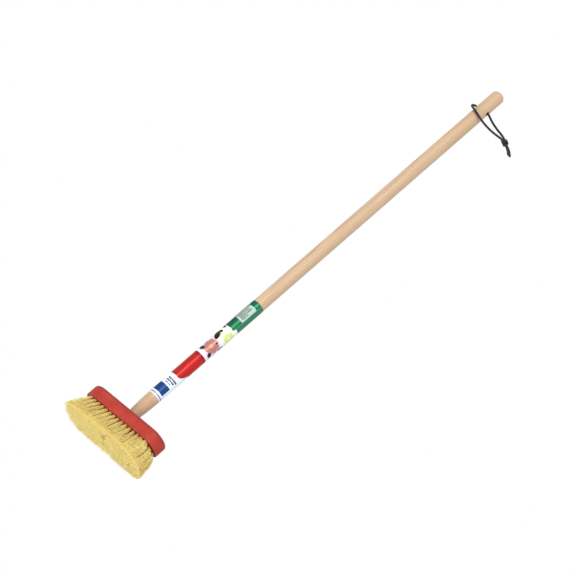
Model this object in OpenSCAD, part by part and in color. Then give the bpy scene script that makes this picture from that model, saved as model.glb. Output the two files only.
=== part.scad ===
// Small push broom: a turned handle stands square on an oval block of bristle tufts.
// Frame: the origin is the middle of the plane of the bristle tips, +Z runs up the handle,
// +X runs along the block, and -Y is the side with the price sticker.

/* [Handle] */
// Radius of the handle's plain length
handle_r = 12; // [11:0.5:14]
// Length of the handle, from the end of its spigot to the top of its dome
handle_length = 880; // [700:1:1200]
// Radius of the neck where it meets the block
neck_r = 9.7; // [8.5:0.1:10]
// Length over which the neck widens to the full radius
neck_length = 40; // [20:1:48]
// Height of the domed top end
dome_height = 9; // [4:0.5:12]
// Radius of the cross hole for the hanging cord
hang_hole_r = 3; // [2.5:0.1:4]
// Distance from the top of the dome to the cross hole
hang_hole_drop = 45; // [30:1:80]

/* [Block] */
// Length of the block
block_length = 164; // [150:1:200]
// Width of the block
block_width = 52; // [50:1:60]
// Thickness of the block
block_height = 23; // [20:0.5:28]
// Radius of the eased top edge
top_edge_r = 5; // [2:0.5:8]
// Depth of the socket for the handle
socket_depth = 14; // [10:0.5:16]

/* [Bristles] */
// Length of bristle below the block
trim = 41; // [30:1:70]
// Distance between tufts along a row, at the block
tuft_pitch = 9; // [8:0.5:12]
// Distance between rows, at the block
row_pitch = 10; // [9:0.5:12]
// Radius of a tuft hole
tuft_hole_r = 2.6; // [2:0.1:3]
// Radius of a tuft at its cut end
tuft_tip_r = 5; // [3:0.1:5]
// How far the tips spread along the block, as a multiple of the spacing at the block
spread_along = 1.2; // [1:0.01:1.3]
// How far the tips spread across the block, as a multiple of the spacing at the block
spread_across = 1.8; // [1:0.05:2]

/* [Label] */
// Height of the film sleeve's lower edge above the bristle tips
label_bottom = 112.3; // [105:0.1:140]
// Height of the film sleeve
label_length = 237; // [100:1:300]
// Thickness of the film sleeve
film_t = 0.3; // [0.2:0.05:0.5]
// Height of the price sticker
sticker_height = 33; // [20:1:50]
// Angle that the price sticker covers round the sleeve
sticker_angle = 128; // [60:1:180]

/* [Cord] */
// Diameter of the hanging cord
cord_d = 4.0; // [2:0.1:4.4]

/* [Hidden] */

$fn = 64;
eps = 0.01;

// Heights above the bristle tips
block_top = trim + block_height;
spigot_end = block_top - socket_depth;
handle_top = spigot_end + handle_length;
hang_z = handle_top - hang_hole_drop;

// Neck and spigot
spigot_r = 8;
neck_steps = 8;
label_top = label_bottom + label_length;
hole_chamfer = 0.8;

// Block
block_r = block_width / 2;
straight = block_length - block_width;
bottom_edge_r = 1.2;

// Screw that holds the handle, driven up from under the block
screw_length = 32;
screw_r = 2;
screw_head_r = 3.9;
screw_head_height = 2.8;
screw_point = 6;
screw_gap = 0.05;
recess_width = 1;
recess_length = 4.4;
recess_depth = 1.6;

// Tufts: each row's list of places along the block is cut to the block's outline
row_count = 5;
edge_margin = 4.5;
bare_r = 13;
tuft_gap = 0.05;
tuft_hole_depth = 10;
tuft_root_r = tuft_hole_r - tuft_gap;
anchor_r = 0.5;
anchor_length = 2 * tuft_hole_r - 0.4;
anchor_depth = 8.8;
past_tips = 1.2;

// Price sticker on the sleeve
sticker_t = 0.2;
sticker_bottom = 305;
sticker_start = -169;

// Hanging cord
cord_r = cord_d / 2;
cord_sides = 8;
in_hole_half = 9;
knot_start = [69.8, -2.3, 861.2];
knot_droop = 29;
knot_length = 17;
knot_r = 5.4;
knot_steps = 10;

// Leg that leaves the hole at the back end and wraps round the front of the handle
leg_back_route = [
    [-9, 0, 885], [-12.6, -0.6, 884.5], [-15.8, -4, 881.8], [-16, -8.7, 877.6],
    [-12.7, -12.7, 873.4], [-6.4, -15, 870.3], [0.8, -15.3, 867.8], [8.3, -13.9, 865.6],
    [16.8, -11.1, 863.2], [26.8, -8.7, 861], [37.8, -6.7, 859.4], [49.3, -5.3, 858.5],
    [59.8, -4.6, 858.3], [66.8, -4.2, 858.3], [72.3, -3.8, 857.3]];

// Leg that leaves the hole at its front end
leg_front_route = [
    [9, 0, 885], [13.5, 0, 884.5], [19.2, -0.3, 882], [27.2, -0.7, 877.9],
    [36.8, -1, 873.8], [46.8, -1, 870.4], [56.8, -1, 867.6], [64.8, -0.9, 865.2],
    [72.3, -0.8, 861.8]];

// Short ends below the knot
tail_a_route = [[82.3, -4.1, 853.4], [87.3, -4.2, 850.8], [93.8, -4.5, 846.6],
                [101.8, -4.9, 839.6]];
tail_b_route = [[83.3, -0.5, 855.4], [88.3, -0.4, 853], [94.8, -0.2, 849],
                [103.3, 0, 841.6]];

// Handle radius at a step of the neck
function neck_radius(step) =
    handle_r - (handle_r - neck_r) * pow(1 - step / neck_steps, 1.5);
function neck_height(step) = block_top + neck_length * step / neck_steps;

// Half the length of a row at a distance from the block's middle line
function row_half(y) =
    straight / 2 + sqrt(pow(block_r - edge_margin, 2) - y * y);
function row_y(row) = (row - (row_count + 1) / 2) * row_pitch;
// Every second row is shifted by half a pitch
function row_shift(row) = (row % 2 == 0) ? 0.5 : 0;
function row_places(row) = [
    for (i = [-20:20])
        let (x = (i + row_shift(row)) * tuft_pitch)
            if (abs(x) <= row_half(row_y(row)) && norm([x, row_y(row)]) > bare_r) x];

// The way a tuft points: from its hole at the block to its cut end
function tuft_run(x, y) = [x * (spread_along - 1), y * (spread_across - 1), -trim];

// Tube swept along a route
function unit(v) = v / norm(v);
function tangent(p, i) = unit(p[min(i + 1, len(p) - 1)] - p[max(i - 1, 0)]);
function ring(p, i, r, sides) =
    let (t = tangent(p, i), side = unit(cross(t, [0, 0, 1])), up = cross(side, t))
        [for (k = [0:sides - 1]) p[i] + r * (cos(360 * k / sides) * side
                                             + sin(360 * k / sides) * up)];
function tube_points(p, r, sides) = [for (i = [0:len(p) - 1]) each ring(p, i, r, sides)];
function tube_walls(count, sides) = [
    for (i = [0:count - 2], k = [0:sides - 1])
        let (a = i * sides + k, b = i * sides + (k + 1) % sides)
            each [[a, b, b + sides], [a, b + sides, a + sides]]];
function tube_ends(count, sides) = [
    [for (k = [sides - 1:-1:0]) k],
    [for (k = [0:sides - 1]) (count - 1) * sides + k]];

module tube(p, r, sides) {
    polyhedron(points = tube_points(p, r, sides),
               faces = concat(tube_walls(len(p), sides), tube_ends(len(p), sides)),
               convexity = 6);
}

// Stands the children at a start with their +Z along a run
module along(start, run) {
    up = sign(run[2]) * unit(run);
    lean_back = asin(-up[1]);
    lean_side = atan2(up[0], up[2]);
    flip = (run[2] < 0) ? 180 : 0;
    translate(start)
        rotate([0, lean_side, 0])
            rotate([lean_back + flip, 0, 0])
                children();
}

module handle_profile() {
    polygon(concat(
        [[0, spigot_end], [spigot_r, spigot_end], [spigot_r, block_top]],
        [for (s = [0:neck_steps]) [neck_radius(s), neck_height(s)]],
        [for (a = [0:10:80]) [handle_r * cos(a), handle_top - dome_height * (1 - sin(a))]],
        [[0, handle_top]]));
}

// Cross hole with its two eased mouths
module hang_hole() {
    rotate([0, 90, 0]) {
        cylinder(h = 4 * handle_r, r = hang_hole_r, center = true);
        for (flip = [0, 180])
            rotate([flip, 0, 0])
                translate([0, 0, handle_r - 2 * hole_chamfer])
                    cylinder(h = 3 * hole_chamfer, r1 = hang_hole_r,
                             r2 = hang_hole_r + 3 * hole_chamfer);
    }
}

module handle() {
    color("burlywood")
        difference() {
            rotate_extrude() handle_profile();
            translate([0, 0, hang_z]) hang_hole();
            translate([0, 0, trim]) screw_shape(screw_gap);
        }
}

// Half of the block's section, with eased edges
module block_half_section() {
    difference() {
        square([block_r, block_height]);
        translate([block_r - top_edge_r, block_height - top_edge_r])
            square(top_edge_r + eps);
        translate([block_r - bottom_edge_r, -eps])
            square(bottom_edge_r + eps);
    }
    translate([block_r - top_edge_r, block_height - top_edge_r]) circle(r = top_edge_r);
    translate([block_r - bottom_edge_r, bottom_edge_r]) circle(r = bottom_edge_r);
}

module block_shape() {
    rotate([90, 0, 90])
        linear_extrude(straight, center = true) {
            block_half_section();
            mirror([1, 0, 0]) block_half_section();
        }
    for (turn = [0, 180])
        rotate([0, 0, turn])
            translate([straight / 2, 0, 0])
                rotate([0, 0, -90])
                    rotate_extrude(angle = 180) block_half_section();
}

module tuft_hole(x, y) {
    along([x, y, 0], -tuft_run(x, y))
        translate([0, 0, -tuft_hole_r])
            cylinder(h = tuft_hole_depth + tuft_hole_r, r = tuft_hole_r);
}

module brush_block() {
    color("firebrick")
        translate([0, 0, trim])
            difference() {
                block_shape();
                translate([0, 0, block_height - socket_depth])
                    cylinder(h = socket_depth + 1, r = spigot_r);
                screw_shape(screw_gap);
                for (row = [1:row_count], x = row_places(row))
                    tuft_hole(x, row_y(row));
            }
}

// Countersunk screw pointing up, its head level with the origin; gap widens it for its hole
module screw_shape(gap) {
    rotate_extrude()
        polygon([
            [0, -gap],
            [screw_head_r + gap, -gap],
            [screw_r + gap, screw_head_height + gap],
            [screw_r + gap, screw_length - screw_point + gap],
            [0, screw_length + 2 * gap]]);
}

module handle_screw() {
    color("silver")
        translate([0, 0, trim])
            difference() {
                screw_shape(0);
                for (turn = [0, 90])
                    rotate([0, 0, turn])
                        cube([recess_length, recess_width, 2 * recess_depth], center = true);
            }
}

// One tuft: a straight bundle in its hole, opening to its cut end at the tip plane
module tuft(x, y) {
    run = tuft_run(x, y);
    length = norm(run);
    widening = (tuft_tip_r - tuft_root_r) / length;
    along([x, y, trim], run)
        cylinder(h = length * past_tips, r1 = tuft_root_r,
                 r2 = tuft_root_r + widening * length * past_tips);
    along([x, y, trim], -run)
        difference() {
            translate([0, 0, -eps])
                cylinder(h = tuft_hole_depth - tuft_gap, r = tuft_root_r);
            translate([0, 0, anchor_depth]) anchor_wire(anchor_r + tuft_gap);
        }
}

module tufts_row(row) {
    color("khaki")
        difference() {
            for (x = row_places(row))
                tuft(x, row_y(row));
            translate([0, 0, -trim])
                cube([3 * block_length, 3 * block_width, 2 * trim], center = true);
        }
}

module anchor_wire(r) {
    rotate([90, 0, 0])
        cylinder(h = anchor_length + 2 * (r - anchor_r), r = r, center = true);
}

module tuft_anchors_row(row) {
    color("gainsboro")
        for (x = row_places(row))
            along([x, row_y(row), trim], -tuft_run(x, row_y(row)))
                translate([0, 0, anchor_depth]) anchor_wire(anchor_r);
}

module label_sleeve() {
    color("white")
        rotate_extrude()
            translate([handle_r, label_bottom])
                square([film_t, label_length]);
}

module price_sticker() {
    color("whitesmoke")
        rotate([0, 0, sticker_start])
            rotate_extrude(angle = sticker_angle)
                translate([handle_r + film_t, sticker_bottom])
                    square([sticker_t, sticker_height]);
}

module cord_in_hole() {
    color("black")
        translate([0, 0, hang_z])
            rotate([0, 90, 0])
                cylinder(h = 2 * in_hole_half, r = cord_r, center = true);
}

module cord_leg_back() {
    color("black") tube(leg_back_route, cord_r, cord_sides);
}

module cord_leg_front() {
    color("black") tube(leg_front_route, cord_r, cord_sides);
}

// Barrel that the overhand knot fills
module cord_knot() {
    run = [cos(knot_droop), 0, -sin(knot_droop)];
    color("black")
        along(knot_start, run)
            rotate_extrude()
                polygon(concat(
                    [[0, 0]],
                    [for (s = [0:knot_steps])
                        [knot_r * (0.6 + 0.4 * sin(180 * s / knot_steps)),
                         knot_length * s / knot_steps]],
                    [[0, knot_length]]));
}

module cord_tail_a() {
    color("black") tube(tail_a_route, cord_r, cord_sides);
}

module cord_tail_b() {
    color("black") tube(tail_b_route, cord_r, cord_sides);
}

handle();
brush_block();
handle_screw();
tufts_row(1);  // tufts_row_1
tufts_row(2);  // tufts_row_2
tufts_row(3);  // tufts_row_3
tufts_row(4);  // tufts_row_4
tufts_row(5);  // tufts_row_5
tuft_anchors_row(1);  // tuft_anchors_row_1
tuft_anchors_row(2);  // tuft_anchors_row_2
tuft_anchors_row(3);  // tuft_anchors_row_3
tuft_anchors_row(4);  // tuft_anchors_row_4
tuft_anchors_row(5);  // tuft_anchors_row_5
label_sleeve();
price_sticker();
cord_in_hole();
cord_leg_back();
cord_leg_front();
cord_knot();
cord_tail_a();
cord_tail_b();
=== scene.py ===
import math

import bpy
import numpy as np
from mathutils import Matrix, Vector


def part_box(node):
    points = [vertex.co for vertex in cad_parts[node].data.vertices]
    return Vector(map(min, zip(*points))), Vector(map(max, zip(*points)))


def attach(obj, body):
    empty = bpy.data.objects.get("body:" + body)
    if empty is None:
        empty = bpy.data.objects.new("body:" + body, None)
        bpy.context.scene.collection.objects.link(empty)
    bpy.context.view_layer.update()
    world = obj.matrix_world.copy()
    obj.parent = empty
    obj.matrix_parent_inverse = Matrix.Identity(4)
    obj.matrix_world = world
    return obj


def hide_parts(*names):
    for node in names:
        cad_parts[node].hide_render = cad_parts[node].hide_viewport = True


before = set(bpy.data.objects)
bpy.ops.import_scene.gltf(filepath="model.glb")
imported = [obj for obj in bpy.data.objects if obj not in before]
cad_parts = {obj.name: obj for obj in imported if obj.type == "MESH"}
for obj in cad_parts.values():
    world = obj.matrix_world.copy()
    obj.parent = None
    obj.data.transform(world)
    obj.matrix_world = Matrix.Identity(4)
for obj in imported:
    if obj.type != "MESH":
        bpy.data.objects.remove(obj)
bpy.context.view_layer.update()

# Small push broom: the CAD handle, block, screw and anchor wires keep their shape and get
# their materials here; the bristles, the film label, the price sticker and the hanging cord
# are modelled here over their CAD solids. Metres, in the CAD frame: the origin is in the
# plane of the bristle tips, +Z runs up the handle and -Y is the side with the sticker.

MM = 0.001

# Camera of the main view: it looks up at the head, and is rolled
VIEW_TURN = math.radians(30.529)
VIEW_RISE = math.radians(20.053)
VIEW_ROLL = math.radians(48.90)
LOOK_AT = Vector((0.06187, -0.09245, 0.36827))
CAMERA_DISTANCE = 4.8089
CAMERA_LENS = 188.48
SENSOR_WIDTH = 36

# The side of the handle that faces the main view, as an angle about +Z
LABEL_FRONT = math.radians(-59.5)

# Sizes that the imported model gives
BLOCK_LOW, BLOCK_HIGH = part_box("brush_block")
HANDLE_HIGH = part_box("handle")[1]
SLEEVE_LOW, SLEEVE_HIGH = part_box("label_sleeve")
STICKER_LOW, STICKER_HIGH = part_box("price_sticker")
BLOCK_TOP = BLOCK_HIGH[2]
BLOCK_UNDER = BLOCK_LOW[2]
HANDLE_R = HANDLE_HIGH[0]

# Neck taper and film, as in the CAD source
NECK_R = 9.7 * MM
NECK_LENGTH = 40 * MM
NECK_POWER = 1.5
FILM = SLEEVE_HIGH[0] - HANDLE_R

# Tuft layout, as in the CAD source
ROWS = 5
ROW_PITCH = 10 * MM
TUFT_PITCH = 9 * MM
EDGE_MARGIN = 4.5 * MM
BARE_R = 13 * MM
TUFT_ROOT_R = 2.4 * MM
SPREAD_ALONG = 1.2
SPREAD_ACROSS = 1.8

# Cord routes and knot, as in the CAD source
CORD_R = 2.0 * MM
LEG_BACK = [
    (-9, 0, 885), (-12.6, -0.6, 884.5), (-15.8, -4, 881.8), (-16, -8.7, 877.6),
    (-12.7, -12.7, 873.4), (-6.4, -15, 870.3), (0.8, -15.3, 867.8), (8.3, -13.9, 865.6),
    (16.8, -11.1, 863.2), (26.8, -8.7, 861), (37.8, -6.7, 859.4), (49.3, -5.3, 858.5),
    (59.8, -4.6, 858.3), (66.8, -4.2, 858.3), (72.3, -3.8, 857.3)]
LEG_FRONT = [
    (9, 0, 885), (13.5, 0, 884.5), (19.2, -0.3, 882), (27.2, -0.7, 877.9),
    (36.8, -1, 873.8), (46.8, -1, 870.4), (56.8, -1, 867.6), (64.8, -0.9, 865.2),
    (72.3, -0.8, 861.8)]
TAIL_A = [(82.3, -4.1, 853.4), (87.3, -4.2, 850.8), (93.8, -4.5, 846.6), (101.8, -4.9, 839.6)]
TAIL_B = [(83.3, -0.5, 855.4), (88.3, -0.4, 853), (94.8, -0.2, 849), (103.3, 0, 841.6)]
IN_HOLE = [(-9, 0, 885), (-3, 0, 885), (3, 0, 885), (9, 0, 885)]
KNOT_START = (69.8, -2.3, 861.2)
KNOT_DROOP = math.radians(29)
KNOT_LENGTH = 17 * MM

# Where each strand enters and leaves the knot, across and upward, and how far along its wrap
# is shifted, all in millimetres
KNOT_STRANDS = (((-1.5, -2.2), (-1.8, -0.8), -1.7), ((1.5, 1.7), (1.8, 1.5), 1.7))
# The wrap's share of the knot's length on each side, its radius and how far that swells in
# millimetres, and its start and turn in degrees
WRAP_SHARE = 0.19
WRAP_R, WRAP_SWELL = 1.6, 2.3
WRAP_START, WRAP_TURN = -120, 480


# ---------------------------------------------------------------- materials

def srgb(red, green, blue):
    """A colour given as 0 to 255 display values, as the linear value that nodes take."""
    def linear(c):
        c /= 255
        return c / 12.92 if c <= 0.04045 else ((c + 0.055) / 1.055) ** 2.4
    return (linear(red), linear(green), linear(blue), 1.0)


class Paint:
    """A node material being built, with the object's own coordinates in millimetres."""

    def __init__(self, name):
        self.material = bpy.data.materials.new(name)
        self.material.use_nodes = True
        self.tree = self.material.node_tree
        self.tree.nodes.clear()
        place = self.node("ShaderNodeTexCoord").outputs["Object"]
        self.place = self.node("ShaderNodeVectorMath", {0: place, "Scale": 1000.0},
                               operation="SCALE").outputs[0]

    def node(self, kind, values=None, **settings):
        node = self.tree.nodes.new(kind)
        for key, value in settings.items():
            setattr(node, key, value)
        for key, value in (values or {}).items():
            self.feed(node.inputs[key], value)
        return node

    def feed(self, socket, value):
        if isinstance(value, bpy.types.NodeSocket):
            self.tree.links.new(value, socket)
        else:
            socket.default_value = value

    def calc(self, operation, *values, clamp=False):
        return self.node("ShaderNodeMath", dict(enumerate(values)),
                         operation=operation, use_clamp=clamp).outputs[0]

    def stretched(self, scale, turn=(0, 0, 0), place=None):
        return self.node("ShaderNodeMapping",
                         {"Vector": place or self.place, "Scale": scale, "Rotation": turn}
                         ).outputs[0]

    def axes(self, place=None):
        return self.node("ShaderNodeSeparateXYZ", {0: place or self.place}).outputs

    def noise(self, place, scale=1.0, detail=3.0, roughness=0.5, distortion=0.0):
        return self.node("ShaderNodeTexNoise", {
            "Vector": place, "Scale": scale, "Detail": detail,
            "Roughness": roughness, "Distortion": distortion}).outputs["Fac"]

    def step(self, value, low, high, start=0.0, end=1.0):
        """Smoothly from start to end as value goes from low to high."""
        return self.node("ShaderNodeMapRange", {
            "Value": value, "From Min": low, "From Max": high,
            "To Min": start, "To Max": end}, interpolation_type="SMOOTHSTEP").outputs[0]

    def mix(self, share, first, second):
        node = self.node("ShaderNodeMix", data_type="RGBA")
        self.feed(node.inputs["Factor"], share)
        self.feed(node.inputs[6], first)
        self.feed(node.inputs[7], second)
        return node.outputs[2]

    def bump(self, height, strength, distance):
        return self.node("ShaderNodeBump", {
            "Height": height, "Strength": strength, "Distance": distance}).outputs[0]

    def done(self, **sockets):
        shader = self.node("ShaderNodeBsdfPrincipled",
                           {key.replace("_", " "): value for key, value in sockets.items()})
        output = self.node("ShaderNodeOutputMaterial")
        self.tree.links.new(shader.outputs[0], output.inputs["Surface"])
        return self.material


def wood_material():
    """Pale turned hardwood: growth rings cut lengthwise, fine fibre and pores."""
    p = Paint("pale_turned_wood")
    tree_heart = (-34.0, -58.0, 0.0)
    ring_gap, ring_drift = 3.1, 16.0
    neck_low, neck_high = 100.0, 120.0
    dome_depth = 5.0
    drift = p.noise(p.stretched((0.03, 0.03, 0.0045)), 1.0, 3.0, 0.55)
    heart = p.node("ShaderNodeVectorMath", {0: p.place, 1: tree_heart},
                   operation="SUBTRACT").outputs[0]
    flat = p.stretched((1.0, 1.0, 0.0), place=heart)
    radius = p.node("ShaderNodeVectorMath", {0: flat}, operation="LENGTH").outputs["Value"]
    growth = p.calc("MULTIPLY_ADD", drift, ring_drift, radius)
    ring = p.calc("FRACT", p.calc("DIVIDE", growth, ring_gap))
    late = p.calc("MULTIPLY", p.step(ring, 0.25, 0.9), p.step(ring, 0.93, 1.0, 1.0, 0.0))
    streak = p.noise(p.stretched((0.9, 0.9, 0.012)), 1.0, 4.0, 0.6)
    fibre = p.noise(p.stretched((3.2, 3.2, 0.05)), 1.0, 3.0, 0.6)
    cloud = p.noise(p.stretched((0.05, 0.05, 0.006)), 1.0, 2.0)
    pores = p.step(p.noise(p.stretched((4.5, 4.5, 0.16)), 1.0, 1.0), 0.66, 0.76)
    tone = p.calc("ADD", p.calc("MULTIPLY", late, 0.34),
                  p.calc("MULTIPLY", p.step(streak, 0.32, 0.72), 0.42))
    tone = p.calc("ADD", tone, p.calc("MULTIPLY", p.step(fibre, 0.35, 0.7), 0.2), clamp=True)
    colour = p.mix(tone, srgb(210, 184, 152), srgb(164, 128, 94))
    colour = p.mix(p.step(cloud, 0.35, 0.7, 0.0, 0.45), colour, srgb(194, 158, 126))
    colour = p.mix(p.calc("MULTIPLY", pores, 0.4), colour, srgb(132, 96, 66))
    height = p.axes()[2]
    bare_neck = p.step(height, neck_high, neck_low, 0.0, 0.4)
    colour = p.mix(bare_neck, colour, srgb(166, 130, 96))
    top = HANDLE_HIGH[2] * 1000
    end_grain = p.step(height, top - dome_depth, top, 0.0, 0.35)
    colour = p.mix(end_grain, colour, srgb(176, 134, 96))
    relief = p.calc("ADD", p.calc("MULTIPLY", fibre, 0.6),
                    p.calc("MULTIPLY", pores, -0.8))
    relief = p.calc("ADD", relief, p.calc("MULTIPLY", late, 0.25))
    return p.done(Base_Color=colour, Roughness=p.step(streak, 0.3, 0.7, 0.42, 0.56),
                  Normal=p.bump(relief, 0.5, 0.00012), Specular_IOR_Level=0.35,
                  Sheen_Weight=0.3, Sheen_Roughness=0.4)


def lacquer_material():
    """Red dye and lacquer over the block's wood: grain shows faintly, edges are rubbed, and
    painted shade darkens the band under the top edge.
    """
    p = Paint("red_lacquer")
    grain = p.noise(p.stretched((0.02, 0.9, 0.9)), 1.0, 4.0, 0.6, 0.3)
    fine = p.noise(p.stretched((0.12, 3.5, 3.5)), 1.0, 2.0, 0.6)
    cloud = p.noise(p.place, 0.045, 3.0)
    orange_peel = p.noise(p.place, 0.8, 2.0)
    colour = p.mix(p.step(grain, 0.3, 0.72), srgb(170, 55, 44), srgb(150, 43, 34))
    colour = p.mix(p.step(cloud, 0.35, 0.7, 0.0, 0.5), colour, srgb(176, 66, 54))
    colour = p.mix(p.step(fine, 0.55, 0.75, 0.0, 0.3), colour, srgb(130, 38, 34))
    height = p.axes()[2]
    under, top = BLOCK_UNDER * 1000, BLOCK_TOP * 1000
    rim = p.step(height, under + 1.3, under + 0.2)
    chips = p.step(p.noise(p.place, 0.55, 3.0, 0.7), 0.56, 0.66)
    colour = p.mix(p.calc("MULTIPLY", rim, chips), colour, srgb(226, 160, 120))
    # Painted shade: the lacquer darkens within a few millimetres of the top edge, where the
    # rounded edge turns away from the light.
    colour = p.mix(p.step(height, top - 6.5, top - 3.5, 0.0, 0.5), colour, srgb(122, 50, 46))
    relief = p.calc("ADD", p.calc("MULTIPLY", grain, 0.8),
                    p.calc("MULTIPLY", orange_peel, 0.7))
    return p.done(Base_Color=colour, Roughness=p.step(fine, 0.3, 0.7, 0.5, 0.64),
                  Normal=p.bump(relief, 0.4, 0.00025), Specular_IOR_Level=0.18,
                  Coat_Weight=0.03, Coat_Roughness=0.35)


def bristle_material():
    """Straw-coloured plant fibre; tone and along are stored on the fibres. Painted shade darkens
    the fibres near their roots, warmed by painted red bounce light from the block, and towards
    their tips.
    """
    p = Paint("straw_fibre")
    tone = p.node("ShaderNodeAttribute", attribute_name="tone").outputs["Fac"]
    along = p.node("ShaderNodeAttribute", attribute_name="along").outputs["Fac"]
    mottle = p.noise(p.stretched((0.9, 0.9, 0.12)), 1.0, 2.0)
    colour = p.mix(p.step(tone, 0.0, 1.0), srgb(252, 241, 160), srgb(242, 216, 126))
    colour = p.mix(p.step(mottle, 0.4, 0.7, 0.0, 0.35), colour, srgb(252, 228, 140))
    # Painted shade between the tufts near the roots, tinted orange-brown as painted bounce light
    # from the red block.
    colour = p.mix(p.step(along, 0.0, 0.28, 0.6, 0.0), colour, srgb(222, 142, 76))
    # Painted shade: the fibres darken towards their tips, dimming the trimmed face of the brush.
    colour = p.mix(p.step(along, 0.72, 0.94, 0.0, 0.5), colour, srgb(214, 186, 108))
    cloud = p.noise(p.stretched((0.16, 0.16, 0.05)), 1.0, 2.0)
    colour = p.mix(p.step(cloud, 0.4, 0.65, 0.0, 0.4), colour, srgb(230, 200, 114))
    colour = p.mix(p.step(along, 0.96, 1.0, 0.0, 0.4), colour, srgb(242, 238, 172))
    return p.done(Base_Color=colour, Roughness=p.step(mottle, 0.3, 0.7, 0.42, 0.6),
                  Specular_IOR_Level=0.35)


def cord_material():
    """Black braided polyester with a slight sheen."""
    p = Paint("black_braid")
    strand = p.noise(p.place, 5.0, 2.0, 0.6)
    patch = p.noise(p.place, 0.35, 2.0)
    colour = p.mix(p.step(strand, 0.35, 0.7), srgb(18, 18, 19), srgb(34, 34, 36))
    colour = p.mix(p.step(patch, 0.4, 0.7, 0.0, 0.4), colour, srgb(26, 24, 23))
    return p.done(Base_Color=colour, Roughness=p.step(strand, 0.3, 0.7, 0.45, 0.65),
                  Normal=p.bump(strand, 0.5, 0.0001), Specular_IOR_Level=0.3,
                  Sheen_Weight=0.05, Sheen_Roughness=0.5)


def metal_material(name, bright, dull, scale):
    """Drawn or plated metal with handling marks."""
    p = Paint(name)
    marks = p.noise(p.stretched((scale, scale * 0.3, scale)), 1.0, 3.0, 0.6)
    blotch = p.noise(p.place, scale * 0.2, 3.0)
    colour = p.mix(p.step(blotch, 0.35, 0.7), bright, dull)
    return p.done(Base_Color=colour, Metallic=1.0,
                  Roughness=p.step(marks, 0.3, 0.7, 0.25, 0.48),
                  Normal=p.bump(marks, 0.3, 0.00005))


class Artwork(Paint):
    """Print on the handle: arc is the way round the handle from the side that faces the
    main view, up is the height above the bristle tips, both in millimetres."""

    def __init__(self, name, radius):
        super().__init__(name)
        turned = self.stretched((1, 1, 1), (0, 0, -LABEL_FRONT))
        x, y, z = self.axes(turned)
        self.arc = self.calc("MULTIPLY", self.calc("ARCTAN2", y, x), radius)
        self.up = z

    def offset(self, centre, turn=0.0):
        """The arc and height from a centre, along axes turned by that many degrees."""
        arc = self.calc("SUBTRACT", self.arc, centre[0])
        up = self.calc("SUBTRACT", self.up, centre[1])
        if not turn:
            return arc, up
        c, s = math.cos(math.radians(turn)), math.sin(math.radians(turn))
        along = self.calc("MULTIPLY_ADD", arc, c, self.calc("MULTIPLY", up, s))
        across = self.calc("MULTIPLY_ADD", up, c, self.calc("MULTIPLY", arc, -s))
        return along, across

    def oval(self, centre, radii, turn=0.0, soft=0.12):
        """One inside an oval and nothing outside, with a soft edge."""
        along, across = self.offset(centre, turn)
        reach = self.calc("SQRT", self.calc(
            "ADD", self.calc("POWER", self.calc("DIVIDE", along, radii[0]), 2.0),
            self.calc("POWER", self.calc("DIVIDE", across, radii[1]), 2.0)))
        return self.step(reach, 1.0 - soft, 1.0 + soft, 1.0, 0.0)

    def rosette(self, centre, radius, petals, depth):
        """A flower outline of rounded petals, as its signed distance in millimetres."""
        along, across = self.offset(centre)
        reach = self.calc("SQRT", self.calc("ADD", self.calc("MULTIPLY", along, along),
                                            self.calc("MULTIPLY", across, across)))
        spin = self.calc("MULTIPLY", self.calc("ARCTAN2", across, along), petals / 2)
        edge = self.calc("MULTIPLY_ADD",
                         self.calc("ABSOLUTE", self.calc("COSINE", spin)),
                         depth, radius - depth)
        return self.calc("SUBTRACT", reach, edge)

    def band(self, value, low, high, soft=0.25):
        """One between low and high, and nothing outside."""
        return self.calc("MULTIPLY", self.step(value, low - soft, low + soft),
                         self.step(value, high - soft, high + soft, 1.0, 0.0))

    def patch(self, centre, half):
        """An upright rectangle, given by its centre and half its width and height."""
        along, across = self.offset(centre)
        return self.calc("MULTIPLY", self.band(along, -half[0], half[0]),
                         self.band(across, -half[1], half[1]))


# Radii in millimetres at which the label's and the sticker's print lies
LABEL_R = 12.2
STICKER_R = 12.5
# The flowers' petals, and their middles as arc and height in millimetres
PETALS_PINK, PETALS_YELLOW, PETALS_BUD = 8, 6, 5
PINK_MIDDLE, YELLOW_MIDDLE, BUD_MIDDLE = (-1.0, 239.4), (9.6, 271.2), (-3.2, 260.4)

# Ovals of the flower field: centre as arc and height, radii, turn in degrees, colour
LEAVES_AND_BERRIES = (
    ((-10.6, 227.2), (5.0, 3.9), 20, (34, 20, 62)),
    ((9.2, 227.2), (4.6, 3.9), -20, (34, 20, 62)),
    ((1.6, 249.0), (1.6, 1.6), 0, (110, 18, 30)),
    ((-10.2, 262.0), (8.2, 5.4), -49, (96, 88, 56)),
    ((-9.4, 259.4), (8.2, 4.4), -49, (18, 14, 10)),
    ((-10.8, 269.8), (4.2, 3.0), 30, (34, 36, 20)),
    ((-13.6, 280.6), (3.8, 3.2), 0, (40, 58, 60)),
    ((-4.6, 267.0), (2.6, 1.8), 40, (222, 222, 150)),
    ((15.5, 251.0), (3.8, 8.0), -20, (140, 112, 110)),
    ((17.5, 236.5), (3.0, 4.6), 10, (180, 110, 112)),
    ((19.0, 262.0), (4.6, 3.0), 25, (70, 120, 70)),
    ((28.0, 243.0), (6.5, 6.5), 0, (218, 134, 118)),
    ((-27.0, 262.0), (6.5, 6.5), 0, (214, 222, 140)),
    ((-25.0, 238.0), (5.0, 3.0), -30, (70, 120, 70)))


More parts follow.
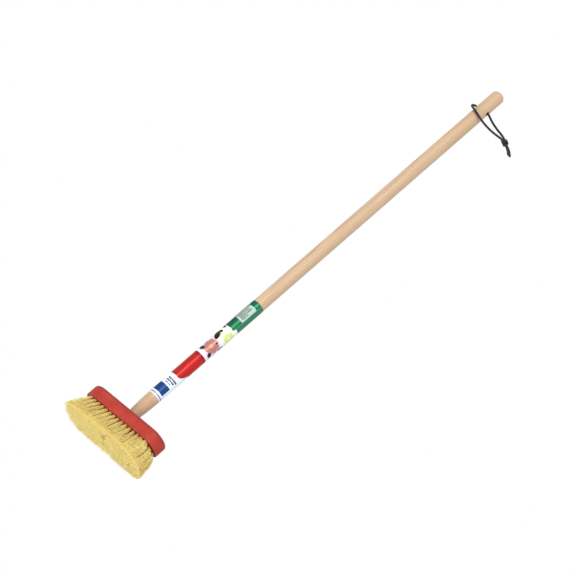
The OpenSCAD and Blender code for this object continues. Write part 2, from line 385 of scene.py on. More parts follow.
def blue_panel(p, colour):
    """Pale rim and thin ring at the bottom, then the blue panel and its dashed bars."""
    low = SLEEVE_LOW[2] * 1000
    colour = p.mix(p.step(p.up, low + 1.4, low + 2.2, 1.0, 0.0), colour,
                   srgb(226, 206, 196))
    colour = p.mix(p.band(p.up, low + 3.4, low + 5.4), colour, srgb(112, 104, 140))
    # Painted shade: the blue darkens towards the flank of the handle at negative arc.
    blue = p.mix(p.step(p.arc, -12.0, -4.0), srgb(2, 46, 92), srgb(3, 60, 118))
    colour = p.mix(p.patch((-4.0, 130.0), (12.8, 8.8)), colour, blue)
    dash = p.step(p.calc("PINGPONG", p.arc, 1.6), 0.12, 0.3)
    for centre, half, tint in (((-0.6, 152.4), (9.4, 1.6), (30, 24, 48)),
                               ((-1.6, 147.8), (8.0, 1.5), (40, 36, 62)),
                               ((-2.8, 143.2), (5.2, 1.2), (84, 84, 116))):
        colour = p.mix(p.calc("MULTIPLY", p.patch(centre, half), dash), colour, srgb(*tint))
    return colour


def red_field(p, colour):
    """Red field, its lower edge sweeping up to one side, and painted shade darkening its top."""
    sweep = p.calc("POWER", p.calc("MAXIMUM", p.calc("SUBTRACT", p.arc, 1.0), 0.0), 2.0)
    lower = p.calc("MULTIPLY_ADD", p.calc("MINIMUM", sweep, 160.0), -0.1, p.up)
    red = p.calc("MULTIPLY", p.step(lower, 161.2, 161.8), p.step(p.up, 217.2, 217.8, 1.0, 0.0))
    crimson = p.mix(p.step(p.noise(p.stretched((0.3, 0.3, 0.03)), 1.0, 2.0), 0.35, 0.7),
                    srgb(186, 26, 22), srgb(160, 18, 16))
    colour = p.mix(red, colour, crimson)
    # Painted shade: the red darkens towards its top edge.
    colour = p.mix(p.calc("MULTIPLY", red, p.step(p.up, 207.0, 217.0, 0.0, 0.5)), colour,
                   srgb(104, 14, 18))
    return colour


def flower_field(p, colour):
    """Two flowers, a bud, leaves and berries on the white field."""
    field = p.band(p.up, 221.5, 254.0, 2.0)
    colour = p.mix(p.calc("MULTIPLY", field, 0.6), colour, srgb(224, 186, 200))
    pink = p.rosette(PINK_MIDDLE, 13.2, PETALS_PINK, 1.6)
    colour = p.mix(p.step(pink, 0.3, -0.3), colour, srgb(180, 123, 112))
    colour = p.mix(p.step(p.calc("ABSOLUTE", pink), 0.25, 0.7, 0.75, 0.0), colour,
                   srgb(136, 74, 58))
    petal = p.rosette((-0.8, 239.4), 7.6, PETALS_PINK, 2.4)
    colour = p.mix(p.step(p.calc("ABSOLUTE", petal), 0.2, 0.8, 0.6, 0.0), colour,
                   srgb(150, 86, 74))
    colour = p.mix(p.oval((-0.8, 239.4), (3.2, 3.2), soft=0.3), colour, srgb(206, 146, 120))
    pale = p.oval((2.0, 268.0), (13.0, 10.5))
    colour = p.mix(p.calc("MULTIPLY", pale, 0.8), colour, srgb(236, 240, 214))
    yellow = p.rosette(YELLOW_MIDDLE, 10.6, PETALS_YELLOW, 1.8)
    colour = p.mix(p.step(yellow, 0.5, -0.5), colour, srgb(214, 222, 140))
    colour = p.mix(p.oval((9.4, 271.6), (3.0, 3.0), soft=0.3), colour, srgb(238, 238, 190))
    bud = p.rosette(BUD_MIDDLE, 5.4, PETALS_BUD, 0.8)
    colour = p.mix(p.step(bud, 0.3, -0.3), colour, srgb(240, 236, 206))
    for centre, radii, turn, tint in LEAVES_AND_BERRIES:
        colour = p.mix(p.oval(centre, radii, turn), colour, srgb(*tint))
    return colour


def green_field(p, colour):
    """Green field with a raised white notch, a lighter teal strip beside it, painted shade on one
    flank and a painted highlight stripe.
    """
    notch = p.calc("MULTIPLY", p.step(p.arc, 3.6, 5.4), -6.0)
    green = p.step(p.calc("ADD", p.up, notch), 283.9, 284.6)
    # Painted shade: the green darkens towards the flank of the handle at negative arc.
    shade = p.mix(p.step(p.arc, -11.0, -3.0), srgb(12, 74, 46), srgb(18, 106, 70))
    colour = p.mix(green, colour, shade)
    # A lighter teal strip towards positive arc.
    teal_strip = p.calc("MULTIPLY", green, p.step(p.arc, 5.8, 7.0))
    colour = p.mix(p.calc("MULTIPLY", teal_strip, 0.75), colour, srgb(58, 124, 98))
    # Painted highlight: a pale green stripe down the green field, as light glinting on the glossy
    # film.
    painted_highlight = p.calc("MULTIPLY", green, p.band(p.arc, 3.9, 5.6, 0.5))
    return p.mix(p.calc("MULTIPLY", painted_highlight, 0.5), colour, srgb(112, 178, 146))


def label_material():
    """Glossy printed film: blocks of colour, bars and plain flower shapes."""
    p = Artwork("printed_film", LABEL_R)
    colour = p.mix(p.step(p.up, 200.0, 260.0), srgb(226, 236, 246), srgb(240, 238, 236))
    for part in (blue_panel, red_field, flower_field, green_field):
        colour = part(p, colour)

    # Print grain and slight creasing of the film
    grain = p.noise(p.place, 2.4, 2.0, 0.6)
    colour = p.mix(p.step(grain, 0.35, 0.75, 0.0, 0.1), colour, srgb(112, 104, 104))
    crease = p.noise(p.stretched((0.25, 0.25, 0.03)), 1.0, 2.0, 0.5, 0.3)
    return p.done(Base_Color=colour, Roughness=p.step(grain, 0.3, 0.7, 0.3, 0.38),
                  Normal=p.bump(crease, 0.2, 0.0004), Specular_IOR_Level=0.2,
                  Metallic=p.step(p.up, 281.0, 286.0, 0.18, 0.38))


def sticker_material():
    """Matt paper, grey-green from green showing through a little and from painted shade, with
    plain bars and a few dashes.
    """
    p = Artwork("sticker_paper", STICKER_R)
    middle = (STICKER_LOW[2] + STICKER_HIGH[2]) * 500
    fibres = p.noise(p.stretched((1.6, 1.6, 0.8)), 1.0, 4.0, 0.65)
    # The paper's grey-green is partly green showing through and partly painted shade.
    colour = p.mix(p.step(fibres, 0.3, 0.75), srgb(184, 206, 196), srgb(164, 186, 176))
    line = p.node("ShaderNodeCombineXYZ", {0: p.calc("MULTIPLY", p.up, 1.9)}).outputs[0]
    bars = p.calc("MULTIPLY", p.step(p.noise(line, 1.0, 0.0), 0.46, 0.5),
                  p.patch((-4.4, middle - 6.0), (6.0, 6.8)))
    dashes = p.calc("MULTIPLY", p.step(p.calc("PINGPONG", p.up, 1.4), 0.25, 0.5),
                    p.calc("MAXIMUM", p.patch((-3.6, middle + 7.0), (1.7, 5.6)),
                           p.patch((-7.6, middle + 6.0), (1.2, 4.6))))
    colour = p.mix(p.calc("MULTIPLY", bars, 0.85), colour, srgb(38, 44, 42))
    colour = p.mix(p.calc("MULTIPLY", dashes, 0.85), colour, srgb(54, 62, 60))
    # Painted shade: the paper darkens towards the flank of the handle at negative arc.
    colour = p.mix(p.step(p.arc, -7.5, -11.5, 0.0, 0.6), colour, srgb(84, 104, 94))
    return p.done(Base_Color=colour, Roughness=p.step(fibres, 0.3, 0.7, 0.5, 0.66),
                  Normal=p.bump(fibres, 0.3, 0.00012), Specular_IOR_Level=0.3)


# ---------------------------------------------------------------- mesh helpers

def piece(name, points, faces, material, body, nodes):
    """A mesh piece that rides on a body and stands for CAD nodes."""
    mesh = bpy.data.meshes.new(name)
    mesh.from_pydata([tuple(p) for p in points], [], faces)
    mesh.validate()
    mesh.polygons.foreach_set("use_smooth", [True] * len(mesh.polygons))
    mesh.materials.append(material)
    made = bpy.data.objects.new(name, mesh)
    bpy.context.scene.collection.objects.link(made)
    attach(made, body)
    if nodes:
        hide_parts(*nodes)
    return made


def repaint(node, material):
    """Puts a material on a CAD node, whose shape stays."""
    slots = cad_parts[node].material_slots
    for index in range(len(slots)):
        slots[index].material = material


def smooth_line(route, spacing):
    """Points at an even spacing on a smooth curve through a route."""
    p = np.array(route, float)
    p = np.vstack([2 * p[0] - p[1], p, 2 * p[-1] - p[-2]])
    dense = []
    for a, b, c, d in zip(p, p[1:], p[2:], p[3:]):
        t = np.linspace(0, 1, 40, endpoint=False)[:, None]
        dense.append(0.5 * (2 * b + (c - a) * t + (2 * a - 5 * b + 4 * c - d) * t ** 2
                            + (3 * b - a - 3 * c + d) * t ** 3))
    dense = np.vstack(dense + [p[-2][None]])
    run = np.r_[0, np.cumsum(np.linalg.norm(np.diff(dense, axis=0), axis=1))]
    count = max(2, round(run[-1] / spacing) + 1)
    even = np.linspace(0, run[-1], count)
    return np.stack([np.interp(even, run, dense[:, k]) for k in range(3)], 1), even


def frames(line):
    """Side and up directions along a line that don't twist."""
    tangent = np.gradient(line, axis=0)
    tangent /= np.linalg.norm(tangent, axis=1)[:, None]
    side = np.cross(tangent[0], (0.0, 0.0, 1.0))
    sides = []
    for t in tangent:
        side = side - t * (side @ t)
        side = side / np.linalg.norm(side)
        sides.append(side)
    sides = np.array(sides)
    return sides, np.cross(tangent, sides)


BRAID_SIDES = 32
BRAID_CARRIERS = 8
BRAID_LEAD = 11.0 * MM
BRAID_SPACING = 0.25 * MM
BRAID_RELIEF = 0.16 * MM
BRAID_CROWN = 0.7
BRAID_UNDER = 0.55


def braid_radius(angle, run):
    """Radius of a diamond braid, two sets of strands crossing over and under."""
    turn = BRAID_CARRIERS * angle / (2 * math.pi)
    slide = BRAID_CARRIERS * run / BRAID_LEAD
    a, b = turn + slide, turn - slide
    over = (np.floor(a) + np.floor(b)) % 2 < 1
    rise_a = np.sin(math.pi * (a % 1)) ** BRAID_CROWN
    rise_b = np.sin(math.pi * (b % 1)) ** BRAID_CROWN
    fill = 1 - BRAID_UNDER
    rise = np.where(over, rise_a * (BRAID_UNDER + fill * rise_b),
                    rise_b * (BRAID_UNDER + fill * rise_a))
    return CORD_R - BRAID_RELIEF * (1 - rise)


def braided_tube(lines, seal_end=False):
    """Points and faces of braided tubes along lines of (points, run); seal_end melts the
    last bit of each to a blunt tip."""
    points, faces = [], []
    angle = np.arange(BRAID_SIDES) * 2 * math.pi / BRAID_SIDES
    for line, run in lines:
        side, up = frames(line)
        radius = braid_radius(angle[None], run[:, None])
        if seal_end:
            left = np.clip((run[-1] - run) / (1.3 * CORD_R), 0, 1)[:, None]
            blunt = CORD_R * (0.45 + 0.5 * np.sqrt(1 - (1 - left) ** 2))
            radius = np.where(left < 1, np.minimum(radius, blunt), radius)
        ring = (np.cos(angle)[None, :, None] * side[:, None]
                + np.sin(angle)[None, :, None] * up[:, None])
        start = len(points)
        points.extend((line[:, None] + radius[..., None] * ring).reshape(-1, 3))
        count = len(line)
        for i in range(count - 1):
            for k in range(BRAID_SIDES):
                a, b = start + i * BRAID_SIDES + k, start + i * BRAID_SIDES + (k + 1) % BRAID_SIDES
                faces.append((a, b, b + BRAID_SIDES, a + BRAID_SIDES))
        faces.append([start + k for k in reversed(range(BRAID_SIDES))])
        faces.append([start + (count - 1) * BRAID_SIDES + k for k in range(BRAID_SIDES)])
    return points, faces


# ---------------------------------------------------------------- hanging cord

def metres(route):
    return [tuple(c * MM for c in p) for p in route]


def cord_pieces():
    black = cord_material()

    def tube(name, route, node, seal_end=False):
        line = smooth_line(metres(route), BRAID_SPACING)
        points, faces = braided_tube([line], seal_end)
        made = piece(name, points, faces, black, "hang_loop", [node])
        return made, line

    tube("cord_through_hole", IN_HOLE, "cord_in_hole")
    back, back_line = tube("loop_leg_back", LEG_BACK, "cord_leg_back")
    front, front_line = tube("loop_leg_front", LEG_FRONT, "cord_leg_front")
    tail_a, _ = tube("loop_tail_a", TAIL_A, "cord_tail_a", True)
    tail_b, _ = tube("loop_tail_b", TAIL_B, "cord_tail_b", True)
    knot = knot_piece(black)


def knot_piece(material):
    """A doubled overhand knot: both cords wrap side by side round their own run."""
    start = np.array(metres([KNOT_START])[0])
    along = np.array((math.cos(KNOT_DROOP), 0, -math.sin(KNOT_DROOP)))
    across = np.array((0.0, 1.0, 0.0))
    upward = np.cross(along, across)

    def place(run, out, angle):
        return (start + along * run + out * (math.cos(angle) * across
                                             + math.sin(angle) * upward))

    lines = []
    for entry, leave, lag in KNOT_STRANDS:
        straight = [start + along * (KNOT_LENGTH * s)
                    + (across * (entry[0] * (1 - s) + leave[0] * s)
                       + upward * (entry[1] * (1 - s) + leave[1] * s)) * MM
                    for s in np.linspace(0.1, 0.9, 6)]
        lines.append(smooth_line(straight, BRAID_SPACING))
        wrap = []
        for s in np.linspace(0, 1, 26):
            swell = math.sin(math.pi * s)
            run = KNOT_LENGTH * (0.5 + WRAP_SHARE * (1 - 2 * s)) + lag * MM * swell ** 0.3
            out = (WRAP_R + WRAP_SWELL * swell ** 0.35) * MM
            wrap.append(place(run, out, math.radians(WRAP_START + WRAP_TURN * s)))
        lines.append(smooth_line(wrap, BRAID_SPACING))
    points, faces = braided_tube(lines)
    return piece("loop_knot", points, faces, material, "hang_loop", ["cord_knot"])


# ---------------------------------------------------------------- bristles

FIBRES_PER_TUFT = 135
FIBRE_R = 0.21 * MM
FIBRE_RINGS = (-0.06, 0.06, 0.2, 0.42, 0.74, 1.0)
FIBRE_SIDES = 3

# Outline that the tips are trimmed to, wider by a share of x on the far side, and the
# power of its rounded oval at each end
TRIM_LEFT, TRIM_RIGHT = 89 * MM, 84 * MM
TRIM_NEAR, TRIM_FAR = 41 * MM, 43 * MM
FAR_SKEW = 0.06
SQUARE_LEFT, SQUARE_RIGHT = 4.4, 3.3
# The near side's trim curves up at its edge; this ends short of the brush's two ends
TRIM_DOME = 2.2 * MM
DOME_END, DOME_FADE = 75 * MM, 25 * MM
DOME_POWER = 5
# How early the fibres at the sides and at the two ends of the brush turn outwards, and the
# shares of the half length over which the ends' turn sets in
TURN_SIDE, TURN_LEFT, TURN_RIGHT = 1.1, 1.6, 7.0
TURN_FROM, TURN_OVER = 0.65, 0.3
# How late the fibres of one tuft spread away from its middle. Fibres that turn out earlier
# than EARLY_TURN spread along the block with their turn
LATE_SPREAD = 1.35
EARLY_TURN = 1.3
ALONG_ONLY = np.array((True, False))
# Tips near the middle lean in over the bare patch round the screw, and scatter more there
MIDDLE_HOLE, MIDDLE_REACH = 15.5 * MM, 42 * MM
MIDDLE_LEAST = 0.05
MIDDLE_SOFT = 14 * MM
# How far one tuft's tips fan out: along the block, across it, and outwards in an outer row
FAN_ALONG, FAN_ACROSS, FAN_OUTWARD = 5.6 * MM, 9.0 * MM, 5.4 * MM
# Small additions to the spread: of every second row, and of the far right quarter
SECOND_ROW_SPREAD = 0.02
FAR_RIGHT_SPREAD = 0.22
# Random spreads: of direction in radians and reach, then in millimetres of the tips' lean,
# level and scatter and of the fibres' bow and wave, then of tone
DIRECTION_WANDER, REACH_WANDER, REACH_MOST = 0.3, 0.12, 1.1
LEAN, TIP_LEVEL, TUFT_RISE = 1.3, 0.5, 0.6
TIP_SCATTER, MIDDLE_SCATTER = 0.4, 2.4
BOW, WAVE = 0.55, 0.35
FIBRE_TONE, TONE_SPREAD, TUFT_TONE = 0.45, 0.25, 0.12
# Shares of fibres that stray, with how much further they lean, and that are cut short, with
# the millimetres
STRAY_SHARE, STRAY_LEAN = 0.02, 2.5
SHORT_SHARE, SHORT_LEAST, SHORT_MOST = 0.05, 1, 6
FIBRE_SEED = 700
TIP_TAPER = 0.3


def row_places(row):
    """Where a row's tufts stand along the block, as in the CAD source."""
    across = (row - (ROWS + 1) / 2) * ROW_PITCH
    end_r = BLOCK_HIGH[1]
    half = BLOCK_HIGH[0] - end_r + math.sqrt((end_r - EDGE_MARGIN) ** 2 - across ** 2)
    shift = 0.5 if row % 2 == 0 else 0.0
    most = math.ceil(BLOCK_HIGH[0] / TUFT_PITCH)
    places = [(i + shift) * TUFT_PITCH for i in range(-most, most + 1)]
    return [(x, across) for x in places
            if abs(x) <= half and math.hypot(x, across) > BARE_R]


def trimmed(tips):
    """Tips drawn over the bare middle and in to the outline of the brush, a rounded oval,
    and how far out each is."""
    reach = np.hypot(tips[:, 0], tips[:, 1])
    inner = np.clip((reach - MIDDLE_HOLE) / (MIDDLE_REACH - MIDDLE_HOLE), MIDDLE_LEAST, None)
    drawn = np.where(reach < MIDDLE_REACH, MIDDLE_REACH * inner, reach)
    tips = tips * (drawn / np.maximum(reach, 0.1 * MM))[:, None]
    x, y = tips[:, 0], tips[:, 1]
    length = np.where(x < 0, TRIM_LEFT, TRIM_RIGHT)
    half = np.where(y < 0, TRIM_NEAR, TRIM_FAR + FAR_SKEW * x)
    n = np.where(x < 0, SQUARE_LEFT, SQUARE_RIGHT)
    over = (np.abs(x / length) ** n + np.abs(y / half) ** n) ** (1 / n)
    return tips / np.maximum(1, over)[:, None], np.minimum(1, over)


def fibre_tips(draw, x, y, angle, reach, spread):
    """Where the fibres of a tuft end, how near the brush's outline each is, and how much
    darker the whole tuft is."""
    n = FIBRES_PER_TUFT
    fan = angle + draw.normal(0, DIRECTION_WANDER, n)
    fan_reach = np.minimum(reach * (1 + draw.normal(0, REACH_WANDER, n)), REACH_MOST)
    fan_reach /= np.maximum(np.abs(np.cos(fan)), np.abs(np.sin(fan)))
    out_x = fan_reach * np.cos(fan)
    out_y = fan_reach * np.sin(fan)
    outer_row = abs(y) > 1.5 * ROW_PITCH
    wide = np.where(out_y * y > 0, FAN_OUTWARD if outer_row else FAN_ACROSS, FAN_ACROSS)
    lean = draw.normal(0, LEAN, (n, 2)) * MM
    stray = draw.uniform(0, 1, n) < STRAY_SHARE
    darker = draw.normal(0, TUFT_TONE)
    rise = draw.uniform(0, TUFT_RISE) * MM
    lean[stray] *= STRAY_LEAN
    tip = np.stack([x * spread[0] + FAN_ALONG * out_x + lean[:, 0],
                    y * spread[1] + wide * out_y + lean[:, 1],
                    np.abs(draw.normal(0, TIP_LEVEL, n)) * MM], 1)
    tip[:, :2], rim = trimmed(tip[:, :2])
    centre = np.exp(-(np.hypot(tip[:, 0], tip[:, 1]) / MIDDLE_SOFT) ** 2)
    scatter = TIP_SCATTER + MIDDLE_SCATTER * centre[:, None]
    tip[:, :2] += draw.normal(0, 1, (n, 2)) * scatter * MM
    tip[:, 2] += rise
    dome = np.clip((DOME_END - np.abs(tip[:, 0])) / DOME_FADE, 0, 1) * (tip[:, 1] < 0)
    tip[:, 2] += TRIM_DOME * dome * rim ** DOME_POWER * draw.uniform(0.2, 1, n)
    return tip, rim, darker


def fibre_turns(tip, rim):
    """How early each fibre turns outwards, along the block and across it."""
    right = np.clip((tip[:, 0] / TRIM_RIGHT - TURN_FROM) / TURN_OVER, 0, 1)
    left = np.clip((-tip[:, 0] / TRIM_LEFT - TURN_FROM) / TURN_OVER, 0, 1)
    turn = TURN_SIDE + (TURN_RIGHT - TURN_SIDE) * right + (TURN_LEFT - TURN_SIDE) * left
    return 1 + (turn - 1) * rim ** 2, 1 + (TURN_SIDE - 1) * rim ** 2


def tuft_fibres(draw, x, y, spread_along):
    """One tuft as rings of points, each a point of every fibre, and the fibres' tones."""
    n = FIBRES_PER_TUFT
    angle = draw.uniform(0, 2 * math.pi, n)
    reach = np.sqrt(draw.uniform(0, 1, n))
    root = np.stack([x + TUFT_ROOT_R * reach * np.cos(angle),
                     y + TUFT_ROOT_R * reach * np.sin(angle), np.full(n, BLOCK_UNDER)], 1)
    spread_across = SPREAD_ACROSS + (FAR_RIGHT_SPREAD if x > 0 and y > 0 else 0)
    tip, rim, darker = fibre_tips(draw, x, y, angle, reach, (spread_along, spread_across))
    turn, side_turn = fibre_turns(tip, rim)
    short = draw.uniform(0, 1, n) < SHORT_SHARE
    tip[short, 2] += draw.uniform(SHORT_LEAST, SHORT_MOST, short.sum()) * MM
    bow = draw.normal(0, BOW, (n, 2)) * MM
    wave = draw.normal(0, WAVE, (n, 2)) * MM
    shade = np.clip(draw.normal(FIBRE_TONE + darker, TONE_SPREAD, n), 0, 1)
    thick = FIBRE_R * draw.uniform(0.8, 1.15, n)
    spin = draw.uniform(0, 2 * math.pi, n)
    carried = np.array([x * (spread_along - 1), y * (spread_across - 1)])
    spread = (tip - root)[:, :2] - carried
    points = []
    for ring in FIBRE_RINGS:
        share, depth = max(ring, 0), min(ring, 0)
        early = np.stack([1 - (1 - share) ** turn, 1 - (1 - share) ** side_turn], 1)
        early += depth * np.stack([turn, side_turn], 1)
        with_turn = (turn > EARLY_TURN)[:, None] & ALONG_ONLY
        late = np.where(with_turn, early, share ** LATE_SPREAD)
        middle = root + (tip - root) * ring
        middle[:, :2] = root[:, :2] + carried * early + spread * late
        middle[:, :2] += bow * math.sin(math.pi * share) + wave * math.sin(2 * math.pi * share)
        r = thick * (1 - TIP_TAPER * share)
        for k in range(FIBRE_SIDES):
            a = spin + 2 * math.pi * k / FIBRE_SIDES
            points.append(middle + np.stack([r * np.cos(a), r * np.sin(a), np.zeros(n)], 1))
    return points, shade


def fibre_faces(count):
    """Faces of that many fibres, each a closed tube of FIBRE_SIDES sides."""
    faces = []
    for fibre in range(count):
        start = fibre * len(FIBRE_RINGS) * FIBRE_SIDES
        last = start + (len(FIBRE_RINGS) - 1) * FIBRE_SIDES
        for ring in range(start, last, FIBRE_SIDES):
            for k in range(FIBRE_SIDES):
                a, b = ring + k, ring + (k + 1) % FIBRE_SIDES
                faces.append((b, a, a + FIBRE_SIDES, b + FIBRE_SIDES))
        faces.append([last + k for k in reversed(range(FIBRE_SIDES))])
        faces.append([start + k for k in range(FIBRE_SIDES)])
    return faces


def bristle_row(row, material):
    """One row of tufts as single fibres, fanned out from their holes and trimmed level."""
    draw = np.random.RandomState(FIBRE_SEED + row)
    spread_along = SPREAD_ALONG + (SECOND_ROW_SPREAD if row % 2 == 0 else 0)
    shares = np.repeat([max(ring, 0) for ring in FIBRE_RINGS], FIBRE_SIDES)
    points, tone, along = [], [], []
    for x, y in row_places(row):
        rings, shade = tuft_fibres(draw, x, y, spread_along)
        points.append(np.array(rings).transpose(1, 0, 2).reshape(-1, 3))
        tone.append(np.repeat(shade, len(shares)))
        along.append(np.tile(shares, FIBRES_PER_TUFT))
    faces = fibre_faces(len(points) * FIBRES_PER_TUFT)
    made = piece(f"bristle_row_{row}", np.concatenate(points), faces, material, "broom",
                 [f"tufts_row_{row}"])
    for name, values in (("tone", tone), ("along", along)):
        layer = made.data.attributes.new(name, "FLOAT", "POINT")
        layer.data.foreach_set("value", np.concatenate(values))


# ---------------------------------------------------------------- label and sticker

def neck_radius(height):
    """Radius of the handle at a height above the block."""
    share = min(max((height - BLOCK_TOP) / NECK_LENGTH, 0), 1)
    return HANDLE_R - (HANDLE_R - NECK_R) * (1 - share) ** NECK_POWER


FILM_SIDES, FILM_RINGS = 144, 150
FILM_SEED = 41
# The film is laid over itself at the seam, over this many sides and this much thicker
LAP_SIDES, LAP = 10, 0.12 * MM
CREASES = 7
CREASE_DEPTH = 0.02 * MM
FULL_TURN = 6.28
# The cut edges thin out over this height, waver this much, and close inside the wood
EDGE_HEIGHT, EDGE_SHARE = 2 * MM, 0.55
EDGE_WAVER = 0.25 * MM
EDGE_SINK = 0.2 * MM


def film_label():
    """The film sleeve, with a seam at the back where the film lies over itself, shrink creases and
    thin edges.
    """
    draw = np.random.RandomState(FILM_SEED)
    low, high = SLEEVE_LOW[2], SLEEVE_HIGH[2]
    sides, rings = FILM_SIDES, FILM_RINGS
    waves = [(draw.randint(2, 9), draw.uniform(0, FULL_TURN), draw.uniform(20, 90),
              draw.uniform(0, FULL_TURN)) for _ in range(CREASES)]
    seam = LABEL_FRONT + math.pi
    points = []
    for i in range(rings + 1):
        height = low + (high - low) * i / rings
        rim = min(height - low, high - height) / EDGE_HEIGHT
        thick = FILM * min(1, EDGE_SHARE + (1 - EDGE_SHARE) * rim)
        for k in range(sides):
            angle = seam + 2 * math.pi * k / sides
            crease = sum(math.sin(m * angle + a + math.sin(height * f + b))
                         for m, a, f, b in waves) / CREASES
            out = neck_radius(height) + thick + LAP * max(0, 1 - k / LAP_SIDES)
            out += CREASE_DEPTH * crease - CREASE_DEPTH
            waver = abs(EDGE_WAVER * math.sin(3 * angle + 1)) if i in (0, rings) else 0
            points.append((out * math.cos(angle), out * math.sin(angle),
                           height - waver if i == rings else height + waver))
    outer = len(points)
    for i, height in ((0, low), (rings, high)):
        inner = neck_radius(height) - EDGE_SINK
        for k in range(sides):
            angle = seam + 2 * math.pi * k / sides
            points.append((inner * math.cos(angle), inner * math.sin(angle),
                           points[i * sides + k][2]))
    faces = []
    for i in range(rings):
        for k in range(sides):
            a, b = i * sides + k, i * sides + (k + 1) % sides
            faces.append((a, b, b + sides, a + sides))
    for k in range(sides):
        n = (k + 1) % sides
        faces.append((outer + k, outer + n, n, k))
        faces.append((rings * sides + k, rings * sides + n, outer + sides + n,
                      outer + sides + k))
    piece("film_label", points, faces, label_material(), "broom",
          ["label_sleeve"])


STICKER_START = math.radians(-169)
STICKER_SPAN = math.radians(128)
STICKER_GAP, STICKER_THICK = 0.02 * MM, 0.16 * MM
STICKER_COLUMNS, STICKER_ROWS = 72, 40
CORNER_R = 1.2 * MM
CORNER_LIFT, RIPPLE = 0.18 * MM, 0.05 * MM


def paper_sticker():
    """Paper price sticker on the film, one corner and its edges lifting a little."""
    low, high = STICKER_LOW[2], STICKER_HIGH[2]
    base = SLEEVE_HIGH[0] + STICKER_GAP
    columns, rows, corner = STICKER_COLUMNS, STICKER_ROWS, CORNER_R
    points = []
    for thick in (0.0, STICKER_THICK):
        for i in range(rows + 1):
            for k in range(columns + 1):
                u, v = k / columns, i / rows
                width = STICKER_SPAN * base
                x = (u - 0.5) * width
                z = (v - 0.5) * (high - low)
                limit_x, limit_z = width / 2, (high - low) / 2
                over_x = max(0, abs(x) - (limit_x - corner))
                over_z = max(0, abs(z) - (limit_z - corner))
                reach = math.hypot(over_x, over_z)
                if reach > corner:
                    x -= math.copysign(over_x * (1 - corner / reach), x)
                    z -= math.copysign(over_z * (1 - corner / reach), z)
                lift = CORNER_LIFT * max(0, u - 0.9) / 0.1 * max(0, 1 - 2.5 * v)
                lift += RIPPLE * math.sin(9 * u + 5 * v)
                angle = STICKER_START + STICKER_SPAN / 2 + x / base
                out = base + thick + max(0, lift)
                points.append((out * math.cos(angle), out * math.sin(angle),
                               (low + high) / 2 + z))
    faces = []
    row, layer = columns + 1, (columns + 1) * (rows + 1)
    for i in range(rows):
        for k in range(columns):
            a = i * row + k
            faces.append((a + layer, a + 1 + layer, a + 1 + row + layer, a + row + layer))
            faces.append((a, a + row, a + 1 + row, a + 1))
    rim = ([k for k in range(columns)] + [columns + i * row for i in range(rows)]
           + [rows * row + k for k in range(columns, 0, -1)]
           + [i * row for i in range(rows, 0, -1)])
    for a, b in zip(rim, rim[1:] + rim[:1]):
        faces.append((a, b, b + layer, a + layer))
    piece("paper_sticker", points, faces, sticker_material(), "broom",
          ["price_sticker"])


# ---------------------------------------------------------------- stage

AMBIENT = 0.76
FLOOR_HALF = 3.0
FLOOR_DROP = 0.4 * MM


def aim(thing, at, away):
    """Puts a thing at a place, turned so that it looks along away."""
    thing.location = at
    thing.rotation_mode = "QUATERNION"
    thing.rotation_quaternion = Vector(away).to_track_quat("-Z", "Y")


def soft_light(name, direction, distance, size, power, middle=(0, 0, 0.45)):
    """A round soft lamp that no camera sees, in a direction from the middle it lights."""
    lamp = bpy.data.lights.new(name, "AREA")
    lamp.shape = "DISK"
    lamp.size = size
    lamp.energy = power
    made = bpy.data.objects.new(name, lamp)
    bpy.context.scene.collection.objects.link(made)
    away = Vector(direction).normalized()
    made.visible_camera = False
    aim(made, Vector(middle) + away * distance, -away)


def floor():
    """Pale floor under the bristle tips. It is seen from above only, fades out into the
    background, and takes shadows without throwing light or shade back on the broom."""
    size = FLOOR_HALF
    mesh = bpy.data.meshes.new("floor")
    mesh.from_pydata([(-size, -size, 0), (size, -size, 0), (size, size, 0), (-size, size, 0)],
                     [], [(0, 1, 2, 3)])
    made = bpy.data.objects.new("floor", mesh)
    bpy.context.scene.collection.objects.link(made)
    made.location.z = -FLOOR_DROP
    made.visible_shadow = made.visible_diffuse = made.visible_glossy = False
    p = Paint("pale_floor")
    grain = p.noise(p.place, 0.02, 3.0)
    colour = p.mix(p.step(grain, 0.3, 0.7), srgb(242, 242, 241), srgb(239, 239, 238))
    shader = p.node("ShaderNodeBsdfDiffuse", {"Color": colour})
    clear = p.node("ShaderNodeBsdfTransparent")
    reach = p.node("ShaderNodeVectorMath", {0: p.place}, operation="LENGTH").outputs["Value"]
    back = p.node("ShaderNodeNewGeometry").outputs["Backfacing"]
    share = p.calc("MAXIMUM", p.step(reach, 500.0, 1500.0), back)
    both = p.node("ShaderNodeMixShader", {0: share})
    p.tree.links.new(shader.outputs[0], both.inputs[1])
    p.tree.links.new(clear.outputs[0], both.inputs[2])
    output = p.node("ShaderNodeOutputMaterial")
    p.tree.links.new(both.outputs[0], output.inputs["Surface"])
    mesh.materials.append(p.material)


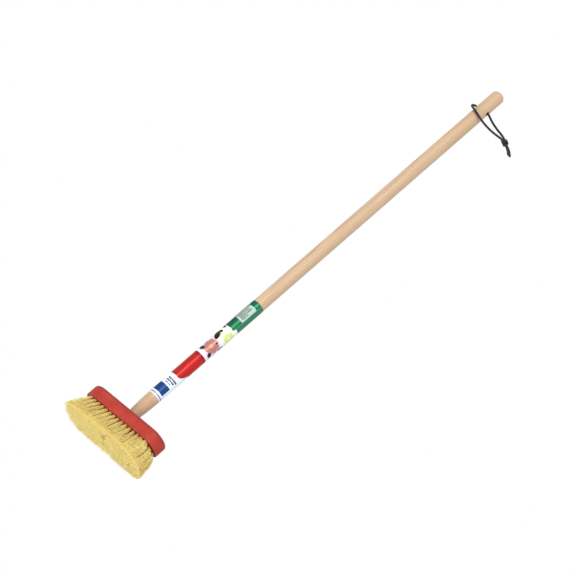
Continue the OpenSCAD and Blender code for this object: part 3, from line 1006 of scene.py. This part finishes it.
def backdrop():
    """White background for the camera, softer grey light all round for the broom."""
    world = bpy.data.worlds.new("studio")
    world.use_nodes = True
    bpy.context.scene.world = world
    tree = world.node_tree
    tree.nodes.clear()
    ray = tree.nodes.new("ShaderNodeLightPath").outputs
    seen = tree.nodes.new("ShaderNodeMath")
    seen.operation = "MAXIMUM"
    tree.links.new(ray["Is Camera Ray"], seen.inputs[0])
    tree.links.new(ray["Is Glossy Ray"], seen.inputs[1])
    dim, white, mix, out = (tree.nodes.new(kind) for kind in (
        "ShaderNodeBackground", "ShaderNodeBackground", "ShaderNodeMixShader",
        "ShaderNodeOutputWorld"))
    dim.inputs["Color"].default_value = (0.97, 0.98, 1.0, 1.0)
    dim.inputs["Strength"].default_value = AMBIENT
    white.inputs["Color"].default_value = (1.0, 1.0, 1.0, 1.0)
    tree.links.new(seen.outputs[0], mix.inputs[0])
    tree.links.new(dim.outputs[0], mix.inputs[1])
    tree.links.new(white.outputs[0], mix.inputs[2])
    tree.links.new(mix.outputs[0], out.inputs["Surface"])


def camera():
    """The main view's camera."""
    c, s = math.cos, math.sin
    right = Vector((c(VIEW_TURN), s(VIEW_TURN), 0))
    ahead = Vector((-c(VIEW_RISE) * s(VIEW_TURN), c(VIEW_RISE) * c(VIEW_TURN), s(VIEW_RISE)))
    up = right.cross(ahead)
    rolled_up = c(VIEW_ROLL) * up - s(VIEW_ROLL) * right
    rolled_right = ahead.cross(rolled_up)
    data = bpy.data.cameras.new("camera")
    data.lens = CAMERA_LENS
    data.sensor_width = SENSOR_WIDTH
    data.clip_end = 50
    made = bpy.data.objects.new("camera", data)
    bpy.context.scene.collection.objects.link(made)
    turn = Matrix((rolled_right, rolled_up, -ahead)).transposed()
    made.matrix_world = Matrix.Translation(LOOK_AT - ahead * CAMERA_DISTANCE) @ turn.to_4x4()
    bpy.context.scene.camera = made


wood = wood_material()
repaint("handle", wood)
repaint("brush_block", lacquer_material())
repaint("handle_screw",
        metal_material("zinc_plate", srgb(206, 208, 212), srgb(150, 152, 156), 2.0))
anchor = metal_material("anchor_wire", srgb(214, 204, 176), srgb(150, 138, 112), 3.0)
straw = bristle_material()
for row in range(1, ROWS + 1):
    repaint(f"tuft_anchors_row_{row}", anchor)
    bristle_row(row, straw)
film_label()
paper_sticker()
cord_pieces()

floor()
backdrop()
soft_light("key", (0.24, -0.9, 0.34), 3.0, 1.4, 52.0)
soft_light("side_fill", (0.95, -0.1, 0.5), 3.2, 2.2, 2.0)
soft_light("back_fill", (-0.5, 0.8, 0.55), 3.4, 2.4, 12.0)
soft_light("under_fill", (0.15, -0.55, -0.8), 1.0, 0.7, 7.0, (0, 0, 0.02))
bpy.context.scene.view_settings.view_transform = "Standard"
camera()
